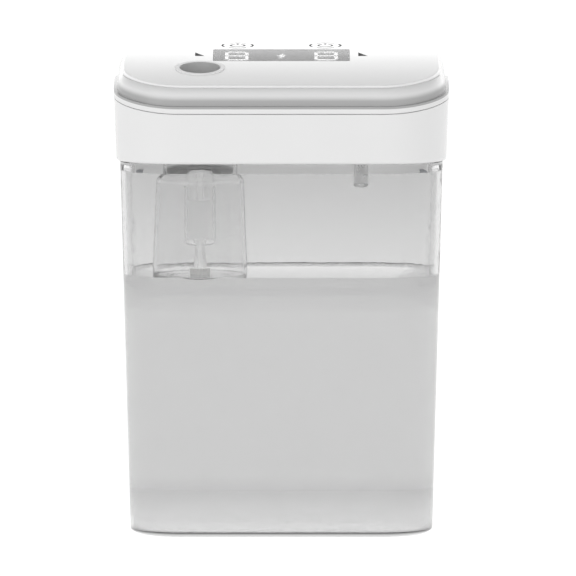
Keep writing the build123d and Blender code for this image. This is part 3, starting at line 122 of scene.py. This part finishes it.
studio = {
    "horizon": 1.10,
    "lowSky": 1.80,  # 10 to 20 degrees up, which the grazing top plate mirrors
    "midSky": 0.60,
    "zenith": 0.26,
    "sideShade": 0.26,  # how much darker the studio is to the left and right
    "stops": [(0.0, "horizon"), (0.20, "lowSky"), (0.34, "lowSky"), (0.62, "midSky"), (0.85, "zenith")],
    "floorHex": "#484848",
    "floorGlow": 0.97,
    "floorRoughness": 0.75,
    "floorSpecular": 0.2,
    "floorSize": 60.0,
    "floorGap": 0.2,
}
world = bpy.data.worlds.new("studio")
bpy.context.scene.world = world
world.use_nodes = True
sky = world.node_tree
sky.nodes.clear()
direction = addNode(sky, "ShaderNodeTexCoord").outputs["Generated"]
axes = addNode(sky, "ShaderNodeSeparateXYZ", links={"Vector": direction})
skyRamp = addNode(sky, "ShaderNodeValToRGB", links={"Fac": axes.outputs["Z"]})
ramp = skyRamp.color_ramp
while len(ramp.elements) < len(studio["stops"]):
    ramp.elements.new(0.5)
for element, (height, level) in zip(ramp.elements, studio["stops"]):
    element.position = height
    element.color = [studio[level]] * 3 + [1]
across = axes.outputs["X"]
sideways = addNode(sky, "ShaderNodeMath", {"operation": "MULTIPLY"}, {0: across, 1: across})
shade = addNode(
    sky, "ShaderNodeMath", {"operation": "MULTIPLY_ADD", 1: -studio["sideShade"], 2: 1.0},
    {0: sideways.outputs[0]},
)
tone = addNode(
    sky, "ShaderNodeVectorMath", {"operation": "SCALE"},
    {0: skyRamp.outputs["Color"], "Scale": shade.outputs[0]},
)
light = addNode(sky, "ShaderNodeBackground", {"Strength": 1.0}, {"Color": tone.outputs[0]})
addNode(sky, "ShaderNodeOutputWorld", links={"Surface": light.outputs[0]})

softboxes = [
    {"name": "overheadSoftbox", "place": (-0.5, -0.7, 1.5), "size": 1.1, "power": 2.2},
    {"name": "frontLeftSoftbox", "place": (-1.3, -1.2, 0.7), "size": 0.9, "power": 2.0},
    {"name": "rearRightSoftbox", "place": (1.2, 1.3, 1.0), "size": 1.0, "power": 2.0},
]
for box in softboxes:
    lamp = bpy.data.lights.new(box["name"], "AREA")
    lamp.size = box["size"]
    lamp.energy = box["power"]
    holder = bpy.data.objects.new(box["name"], lamp)
    holder.location = box["place"]
    holder.rotation_euler = (aim - Vector(box["place"])).to_track_quat("-Z", "Y").to_euler()
    bpy.context.scene.collection.objects.link(holder)

# opal acrylic lit from below: even white under and round the part, hardly mirrors
floorMaterial = bpy.data.materials.new("opalAcrylicSheet")
floorMaterial.use_nodes = True
floorTree = floorMaterial.node_tree
floorShader = floorTree.nodes["Principled BSDF"]
floorShader.inputs["Base Color"].default_value = linear(studio["floorHex"])
floorShader.inputs["Roughness"].default_value = studio["floorRoughness"]
floorShader.inputs["Specular IOR Level"].default_value = studio["floorSpecular"]
floorShader.inputs["Emission Color"].default_value = (1, 1, 1, 1)
floorShader.inputs["Emission Strength"].default_value = studio["floorGlow"]
half = studio["floorSize"] / 2
floorZ = cadBox[0].z - studio["floorGap"] * mm
floor = meshPiece(
    "floor",
    [(-half, -half, floorZ), (half, -half, floorZ), (half, half, floorZ), (-half, half, floorZ)],
    [(0, 1, 2, 3)],
    floorMaterial,
)
print("studio lit")

grain = {"broadDetail": 3.0, "fineDetail": 4.0, "fineShare": 0.5, "spread": (0.45, 1.05), "edgeSamples": 3}


def makeMaterial(name, finish, maskFor=None, glowFor=None):
    # one finish: a soft mottle of two colours, gloss that varies, and a fine moulded or worked grain
    # maskFor says where the painted shade colour goes and glowFor where the surface gets a painted glow
    material = bpy.data.materials.new(name)
    material.use_nodes = True
    tree = material.node_tree
    tree.nodes.clear()
    place = addNode(tree, "ShaderNodeTexCoord").outputs["Object"]
    stretch = finish.get("stretch", (1, 1, 1))
    place = addNode(tree, "ShaderNodeMapping", {"Scale": stretch}, {"Vector": place}).outputs[0]
    broad = addNode(
        tree, "ShaderNodeTexNoise",
        {"Scale": 1 / (finish["mottleMm"] * mm), "Detail": grain["broadDetail"]}, {"Vector": place},
    )
    fine = addNode(
        tree, "ShaderNodeTexNoise",
        {"Scale": 1 / (finish["grainMm"] * mm), "Detail": grain["fineDetail"]}, {"Vector": place},
    )
    colour = addNode(
        tree, "ShaderNodeMix",
        {"data_type": "RGBA", 6: linear(finish["colour"]), 7: linear(finish["mottle"])},
        {"Factor": broad.outputs["Fac"]},
    )
    if maskFor:
        colour = addNode(
            tree, "ShaderNodeMix", {"data_type": "RGBA", 7: linear(finish["deep"])},
            {"Factor": maskFor(tree, place), 6: colour.outputs[2]},
        )
    low, high = finish["roughness"]
    both = addNode(
        tree, "ShaderNodeMath", {"operation": "MULTIPLY_ADD", 1: grain["fineShare"]},
        {0: fine.outputs["Fac"], 2: broad.outputs["Fac"]},
    )
    least, most = grain["spread"]
    gloss = addNode(
        tree, "ShaderNodeMapRange", {"From Min": least, "From Max": most, "To Min": low, "To Max": high},
        {"Value": both.outputs[0]},
    )
    shader = addNode(
        tree, "ShaderNodeBsdfPrincipled", finish.get("shader"),
        {"Base Color": colour.outputs[2], "Roughness": gloss.outputs[0]},
    )
    if glowFor:
        tree.links.new(glowFor(tree, place), shader.inputs["Emission Strength"])
    normal = {}
    if finish.get("edgeMm"):
        softness = {"samples": grain["edgeSamples"], "Radius": finish["edgeMm"] * mm}
        edge = addNode(tree, "ShaderNodeBevel", softness)
        normal = {"Normal": edge.outputs[0]}
    if finish.get("bumpMm"):
        bump = addNode(
            tree, "ShaderNodeBump", {"Strength": 1.0, "Distance": finish["bumpMm"] * mm},
            {"Height": fine.outputs["Fac"], **normal},
        )
        normal = {"Normal": bump.outputs[0]}
    for key, source in normal.items():
        tree.links.new(source, shader.inputs[key])
    addNode(tree, "ShaderNodeOutputMaterial", links={"Surface": shader.outputs[0]})
    return material


def fadeAlong(tree, place, axis, start, end, full=1.0):
    # 0 at the start, full at the end, both in mm along an axis of the part
    at = addNode(tree, "ShaderNodeSeparateXYZ", links={"Vector": place})
    limits = {"From Min": start * mm, "From Max": end * mm, "To Max": full}
    return addNode(tree, "ShaderNodeMapRange", limits, {"Value": at.outputs[axis]}).outputs[0]


# painted shade: the top plate greys from its rear towards its front
paintedDeckShade = {"rear": 20.0, "front": -50.0}


def paintedFrontShade(tree, place):
    return fadeAlong(tree, place, "Y", paintedDeckShade["rear"], paintedDeckShade["front"])


# painted shade in the crease above the cover's lip
shoulderShade = {
    "bandHeight": 4.2, "frontFall": 10.8, "middleFall": 0.5,  # the lip line over the skirt's top
    "from": -2.2, "darkTo": 1.5, "clearFrom": 5.0,  # heights over the lip line
}


def paintedLipCreaseShade(tree, place):
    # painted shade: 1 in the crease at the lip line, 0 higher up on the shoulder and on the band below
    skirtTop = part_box("head_skirt")[1]
    reach = skirtTop.y
    rear = skirtTop.z + shoulderShade["bandHeight"] * mm
    front = rear - shoulderShade["frontFall"] * mm
    middle = rear - shoulderShade["middleFall"] * mm
    slope = (rear - front) / (2 * reach)
    bow = (rear + front - 2 * middle) / (2 * reach ** 2)
    at = addNode(tree, "ShaderNodeSeparateXYZ", links={"Vector": place})
    curve = addNode(
        tree, "ShaderNodeMath", {"operation": "MULTIPLY_ADD", 1: bow, 2: slope}, {0: at.outputs["Y"]},
    )
    line = addNode(
        tree, "ShaderNodeMath", {"operation": "MULTIPLY_ADD", 2: middle},
        {0: curve.outputs[0], 1: at.outputs["Y"]},
    )
    rise = addNode(
        tree, "ShaderNodeMath", {"operation": "SUBTRACT"}, {0: at.outputs["Z"], 1: line.outputs[0]},
    ).outputs[0]
    fade = addNode(
        tree, "ShaderNodeMapRange",
        {
            "interpolation_type": "SMOOTHSTEP", "From Min": shoulderShade["darkTo"] * mm,
            "From Max": shoulderShade["clearFrom"] * mm, "To Min": 1.0, "To Max": 0.0,
        },
        {"Value": rise},
    )
    over = addNode(
        tree, "ShaderNodeMath", {"operation": "GREATER_THAN", 1: shoulderShade["from"] * mm}, {0: rise},
    )
    crease = {0: fade.outputs[0], 1: over.outputs[0]}
    return addNode(tree, "ShaderNodeMath", {"operation": "MULTIPLY"}, crease).outputs[0]


tankPaintedShadeAndGlow = {
    "paintedHeadShade": (142.0, 206.0),  # heights where the painted shade under the head starts and is darkest
    "foot": (26.0, 10.0),  # heights where the painted shade near the bottom starts and is full
    "edge": (0.50, 0.72),  # how far the clear wall turns before shade is painted on its edge
    "glow": (2.8, 1.2), "glowStrength": 0.6,  # painted glow at the foot of the tank, standing in for the table's light scattered in it
}


def paintedFloorShade(tree, place):
    # painted shade: the tank and the water grey towards the tank's floor
    return fadeAlong(tree, place, "Z", *tankPaintedShadeAndGlow["foot"])


def tankShade(tree, place):
    # painted shade under the head, painted shade darker towards the bottom, and painted shade on the clear
    # wall where it is seen edge-on
    turn = addNode(tree, "ShaderNodeLayerWeight", {"Blend": 0.5}).outputs["Facing"]
    start, end = tankPaintedShadeAndGlow["edge"]
    edge = addNode(tree, "ShaderNodeMapRange", {"From Min": start, "From Max": end}, {"Value": turn})
    paintedHeadShade = fadeAlong(tree, place, "Z", *tankPaintedShadeAndGlow["paintedHeadShade"])
    ends = addNode(tree, "ShaderNodeMath", {"operation": "MAXIMUM"}, {0: paintedHeadShade, 1: paintedFloorShade(tree, place)})
    most = addNode(tree, "ShaderNodeMath", {"operation": "MAXIMUM"}, {0: ends.outputs[0], 1: edge.outputs[0]})
    return most.outputs[0]


def paintedFootGlow(tree, place):
    # painted glow on the lowest millimetres of the tank, which is no lamp
    return fadeAlong(tree, place, "Z", *tankPaintedShadeAndGlow["glow"], tankPaintedShadeAndGlow["glowStrength"])


boreShadeReach = {"bore": 11.0, "edge": 0.25}


def paintedBoreShade(tree, place):
    # painted shade: 1 on the bore of the outlet, 0 on its rim
    low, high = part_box("outlet_port")
    centre = ((low.x + high.x) / 2, (low.y + high.y) / 2, 0)
    flat = addNode(tree, "ShaderNodeVectorMath", {"operation": "MULTIPLY", 1: (1, 1, 0)}, {0: place})
    away = addNode(
        tree, "ShaderNodeVectorMath", {"operation": "DISTANCE", 1: centre}, {0: flat.outputs[0]},
    ).outputs["Value"]
    limit = (boreShadeReach["bore"] + boreShadeReach["edge"]) * mm
    return addNode(tree, "ShaderNodeMath", {"operation": "LESS_THAN", 1: limit}, {0: away}).outputs[0]


# mottleMm and grainMm are drawn coarser than the real grain, so that they show
finishes = {
    # ABS moulded in a polished tool: bright white with a tight gloss and a faint orange peel
    "glossMouldedAbs": {
        "colour": "#DCDCDC", "mottle": "#D8D8D8", "mottleMm": 40, "grainMm": 1.6,
        "roughness": (0.13, 0.24), "bumpMm": 0.006, "edgeMm": 0.35, "shader": {"IOR": 1.5},
    },
    # the same for the cover, with shade painted on its shoulder, greying softly into the crease above its lip
    "glossMouldedAbsPaintedCreaseShade": {
        "colour": "#DCDCDC", "mottle": "#D8D8D8", "mottleMm": 40, "grainMm": 1.6, "deep": "#A0A0A0",
        "roughness": (0.13, 0.24), "bumpMm": 0.006, "edgeMm": 0.35, "shader": {"IOR": 1.5},
    },
    # capped ABS top plate, polished: mirrors the low sky at a grazing view, with shade painted darker towards
    # its front
    "polishedAbsPanel": {
        "colour": "#FAFAFA", "mottle": "#F6F6F6", "mottleMm": 50, "grainMm": 2.0, "deep": "#E6E6E6",
        "roughness": (0.10, 0.18), "bumpMm": 0.004, "edgeMm": 0.12, "shader": {"IOR": 1.5},
    },
    # ABS from a plain tool: soft white, no clear reflections
    "satinMouldedAbs": {
        "colour": "#F4F4F4", "mottle": "#EEEEEE", "mottleMm": 14, "grainMm": 0.6,
        "roughness": (0.38, 0.55), "bumpMm": 0.012, "edgeMm": 0.25, "shader": {"IOR": 1.5},
    },
    # the same on the underside of the head, with a painted glow standing in for light from below
    "satinMouldedAbsPaintedGlow": {
        "colour": "#F4F4F4", "mottle": "#EEEEEE", "mottleMm": 14, "grainMm": 0.6,
        "roughness": (0.38, 0.55), "bumpMm": 0.012, "edgeMm": 0.25,
        "shader": {"IOR": 1.5, "Emission Color": (1, 1, 1, 1), "Emission Strength": 0.34},
    },
    # moulded ABS of the outlet, with shade painted grey inside its bore
    "mouldedAbsPaintedBoreShade": {
        "colour": "#EDEDED", "mottle": "#E6E6E6", "mottleMm": 9, "grainMm": 0.5, "deep": "#B0B0B0",
        "roughness": (0.30, 0.45), "bumpMm": 0.010, "edgeMm": 0.3, "shader": {"IOR": 1.5},
    },
    # SAN moulded clear: glassy with a slight smoke, with painted shade under the head, near the bottom and
    # where the wall is seen edge-on, and a painted glow at its foot
    "clearMouldedSan": {
        "colour": "#E7E7E7", "mottle": "#E5E5E5", "mottleMm": 60, "grainMm": 6.0, "deep": "#D6D6D6",
        "roughness": (0.0, 0.035), "bumpMm": 0.02,
        "shader": {"IOR": 1.49, "Transmission Weight": 1.0, "Emission Color": (1, 1, 1, 1)},
    },
    # polycarbonate blown clear: thinner, a touch wavier
    "clearBlownPolycarbonate": {
        "colour": "#FBFBFB", "mottle": "#F6F6F6", "mottleMm": 12, "grainMm": 4.0,
        "roughness": (0.0, 0.05), "bumpMm": 0.03, "shader": {"IOR": 1.52, "Transmission Weight": 1.0},
    },
    # polypropylene moulded: milky, lets light through but no picture, with a faint painted glow
    "frostedPolypropylene": {
        "colour": "#F7F7F7", "mottle": "#EDEDED", "mottleMm": 5, "grainMm": 0.5,
        "roughness": (0.12, 0.25), "bumpMm": 0.008,
        "shader": {
            "IOR": 1.40, "Transmission Weight": 0.8,
            "Emission Color": (1, 1, 1, 1), "Emission Strength": 0.14,
        },
    },
    # styrene moulded water-clear, for the short tube round the stem
    "clearMouldedStyrene": {
        "colour": "#FDFDFD", "mottle": "#FAFAFA", "mottleMm": 10, "grainMm": 3.0,
        "roughness": (0.0, 0.04), "bumpMm": 0.01, "shader": {"IOR": 1.40, "Transmission Weight": 1.0},
    },
    # acrylic tinted grey
    "smokedAcrylic": {
        "colour": "#8E8E8E", "mottle": "#888888", "mottleMm": 20, "grainMm": 2.0,
        "roughness": (0.15, 0.22), "bumpMm": 0.002, "shader": {"IOR": 1.30, "Transmission Weight": 1.0},
    },
    # display body printed grey
    "greyDisplayMask": {
        "colour": "#767676", "mottle": "#6E6E6E", "mottleMm": 8, "grainMm": 0.3,
        "roughness": (0.6, 0.8), "bumpMm": 0.01, "shader": {"IOR": 1.45},
    },
    # lit diffuser bars
    "litDiffuserResin": {
        "colour": "#F2F2F2", "mottle": "#E4E4E4", "mottleMm": 2, "grainMm": 0.3,
        "roughness": (0.4, 0.6), "bumpMm": 0.004,
        "shader": {"Emission Color": (1, 1, 1, 1), "Emission Strength": 5.6},
    },
    # icons moulded in grey
    "greyInlayAbs": {
        "colour": "#4C4C4C", "mottle": "#444444", "mottleMm": 3, "grainMm": 0.4,
        "roughness": (0.6, 0.75), "bumpMm": 0.004, "shader": {"IOR": 1.4, "Specular IOR Level": 0.2},
    },
    # silicone extruded: cloudy, soft highlights, with a faint painted glow
    "extrudedSilicone": {
        "colour": "#F2F2F2", "mottle": "#E8E8E8", "mottleMm": 6, "grainMm": 0.7,
        "roughness": (0.22, 0.36), "bumpMm": 0.01,
        "shader": {
            "IOR": 1.43, "Transmission Weight": 0.6,
            "Emission Color": (1, 1, 1, 1), "Emission Strength": 0.08,
        },
    },
    # rubber moulded pale: dull, edges look soft; a painted glow stands in for the light the seals in the
    # clear tank catch
    "mouldedRubber": {
        "colour": "#EAEAEA", "mottle": "#E0E0E0", "mottleMm": 6, "grainMm": 0.4,
        "roughness": (0.6, 0.8), "bumpMm": 0.02,
        "shader": {"IOR": 1.5, "Emission Color": (1, 1, 1, 1), "Emission Strength": 0.30},
    },
    # stone beads sintered: chalky and pitted, with a painted glow
    "sinteredStone": {
        "colour": "#E2E2DF", "mottle": "#C2C2BE", "mottleMm": 1.2, "grainMm": 0.35,
        "roughness": (0.8, 0.95), "bumpMm": 0.12,
        "shader": {"IOR": 1.5, "Emission Color": (1, 1, 1, 1), "Emission Strength": 0.30},
    },
    # steel plated with zinc: cool grey, blurred highlights
    "zincPlatedSteel": {
        "colour": "#B9BCBF", "mottle": "#A6A9AD", "mottleMm": 3, "grainMm": 0.3,
        "roughness": (0.25, 0.42), "bumpMm": 0.006, "shader": {"Metallic": 1.0},
    },
    # aluminium die cast: matte grey with a slight orange peel
    "dieCastAluminium": {
        "colour": "#B4B6B8", "mottle": "#9FA1A3", "mottleMm": 6, "grainMm": 0.5,
        "roughness": (0.42, 0.6), "bumpMm": 0.03, "shader": {"Metallic": 1.0},
    },
    # aluminium drawn: fine lines along its length
    "drawnAluminium": {
        "colour": "#C4C6C8", "mottle": "#B4B6B8", "mottleMm": 4, "grainMm": 0.3, "stretch": (0.06, 1, 1),
        "roughness": (0.22, 0.4), "bumpMm": 0.008, "shader": {"Metallic": 1.0},
    },
    # copper wire, enamelled and wound: warm, fine bright turns
    "enamelledCopper": {
        "colour": "#B36A3C", "mottle": "#8E4E2A", "mottleMm": 2, "grainMm": 0.5, "stretch": (1, 0.1, 0.1),
        "roughness": (0.2, 0.35), "bumpMm": 0.1, "shader": {"Metallic": 1.0},
    },
    # nylon filled with glass and moulded: dark, with a fine dull grain
    "blackGlassNylon": {
        "colour": "#2A2A2B", "mottle": "#202021", "mottleMm": 5, "grainMm": 0.4,
        "roughness": (0.4, 0.6), "bumpMm": 0.02, "edgeMm": 0.2, "shader": {"IOR": 1.53},
    },
    # foam with open cells: dark pores, no gloss
    "openCellFoam": {
        "colour": "#4A4A4C", "mottle": "#242425", "mottleMm": 0.9, "grainMm": 0.7,
        "roughness": (0.85, 1.0), "bumpMm": 0.5, "shader": {"Sheen Weight": 0.2},
    },
    # solder mask screened on board: even green with a low sheen
    "solderMask": {
        "colour": "#1F6A43", "mottle": "#195837", "mottleMm": 5, "grainMm": 1.0,
        "roughness": (0.3, 0.45), "bumpMm": 0.01, "shader": {"IOR": 1.5},
    },
    # film shrunk round cells: blue, drawn tight, slightly rippled
    "shrinkFilm": {
        "colour": "#3A6EA8", "mottle": "#335F92", "mottleMm": 12, "grainMm": 3.0,
        "roughness": (0.25, 0.4), "bumpMm": 0.05, "shader": {"IOR": 1.5},
    },
}
wornBy = {
    "glossMouldedAbs": ["head_skirt", "filter_cover"],
    "glossMouldedAbsPaintedCreaseShade": ["top_cover"],
    "polishedAbsPanel": ["control_panel"],
    "satinMouldedAbsPaintedGlow": ["base_plate"],
    "satinMouldedAbs": [
        "bubbler_manifold", "filter_box", "valve_block", "product_block", "reservoir", "vent_barb",
    ],
    "mouldedAbsPaintedBoreShade": ["outlet_port"],
    "clearMouldedSan": ["tank"],
    "clearBlownPolycarbonate": ["bubbler_bottle"],
    "frostedPolypropylene": ["feed_stem", "stem_nut", "bubble_nozzle"],
    "clearMouldedStyrene": ["dip_tube"],
    "smokedAcrylic": ["display_window"],
    "greyDisplayMask": ["display_module"],
    "litDiffuserResin": ["digit_left", "digit_right", "charge_symbol"],
    "greyInlayAbs": ["touch_ring_left", "touch_ring_right", "level_icons"],
    "extrudedSilicone": ["vent_tube", "pressure_hose", "product_hose", "oxygen_hose", "intake_hose"],
    "mouldedRubber": ["tank_seal", "bottle_seal", "compressor_mounts"],
    "sinteredStone": ["diffuser"],
    "zincPlatedSteel": [
        "plate_screws", "cover_screws", "compressor_screws", "reed_plate", "piston", "touch_springs",
        "valve_plunger_front", "valve_plunger_rear",
    ],
    "dieCastAluminium": ["compressor_housing", "compressor_head", "compressor_end_cap"],
    "drawnAluminium": ["sieve_canister_a", "sieve_canister_b", "cylinder_liner"],
    "enamelledCopper": ["stator_coil"],
    "blackGlassNylon": [
        "fan_frame", "fan_rotor", "solenoid_front", "solenoid_rear", "charge_socket", "board_components",
    ],
    "openCellFoam": ["intake_filter"],
    "solderMask": ["main_board", "display_board"],
    "shrinkFilm": ["battery_pack"],
}
paintedShadeMasks = {
    "glossMouldedAbsPaintedCreaseShade": paintedLipCreaseShade,
    "polishedAbsPanel": paintedFrontShade,
    "clearMouldedSan": tankShade,
    "mouldedAbsPaintedBoreShade": paintedBoreShade,
}
paintedGlows = {"clearMouldedSan": paintedFootGlow}
materials = {
    name: makeMaterial(name, finish, paintedShadeMasks.get(name), paintedGlows.get(name)) for name, finish in finishes.items()
}
dressed = set()
for name, wearers in wornBy.items():
    for wearer in wearers:
        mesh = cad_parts[wearer].data
        mesh.materials.clear()
        mesh.materials.append(materials[name])
        dressed.add(wearer)
print("materials made:", len(materials), "left plain:", sorted(set(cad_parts) - dressed))

water = {
    "level": 142.0,
    "wall": 2.5,
    "overlap": 0.08,  # how far the water reaches into the wall, so that no film of air shows between them
    "floor": 3.0,
    "tankHeight": 204.0,
    "cornerRadius": 32.9,
    "taper": (11.0, 7.0, 4.0),  # how much width, depth and corner radius shrink down to the base
    "layers": 6,
    "rims": [(0.0, 0.35), (0.5, 0.12), (1.2, 0.0)],  # inset from the wall, rise
}
tankLow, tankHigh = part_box("tank")


def waterRing(z, inset):
    share = 1 - z / water["tankHeight"]
    trim = 2 * (water["wall"] - water["overlap"] + inset)
    width = (tankHigh.x - tankLow.x) - (water["taper"][0] * share + trim) * mm
    depth = (tankHigh.y - tankLow.y) - (water["taper"][1] * share + trim) * mm
    radius = (water["cornerRadius"] - water["taper"][2] * share - trim / 2) * mm
    return roundedRing(width, depth, radius, z * mm)


rings = [waterRing(water["floor"] - water["overlap"], 0.0)]
rings += [waterRing(water["level"] * step / water["layers"], 0.0) for step in range(1, water["layers"])]
rings += [waterRing(water["level"] + rise, inset) for inset, rise in water["rims"]]
count = len(rings[0])
points = [point for ring in rings for point in ring]
faces = [tuple(reversed(range(count)))]
for ring in range(len(rings) - 1):
    for i in range(count):
        j = (i + 1) % count
        faces.append((ring * count + i, ring * count + j, (ring + 1) * count + j, (ring + 1) * count + i))
faces.append(tuple(range((len(rings) - 1) * count, len(rings) * count)))
# clean water at rest: clear with hardly a ripple, with shade painted darker towards the bottom
waterFinish = {
    "colour": "#EEEEEE", "mottle": "#EDEDED", "mottleMm": 80, "grainMm": 14, "deep": "#CECECE",
    "roughness": (0.0, 0.0), "bumpMm": 0.05, "shader": {"IOR": 1.333, "Transmission Weight": 1.0},
}
materials["stillWater"] = makeMaterial("stillWater", waterFinish, paintedFloorShade)
waterBody = meshPiece("water", points, faces, materials["stillWater"])
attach(waterBody, "tank_base")
print("water filled to", water["level"], "mm")
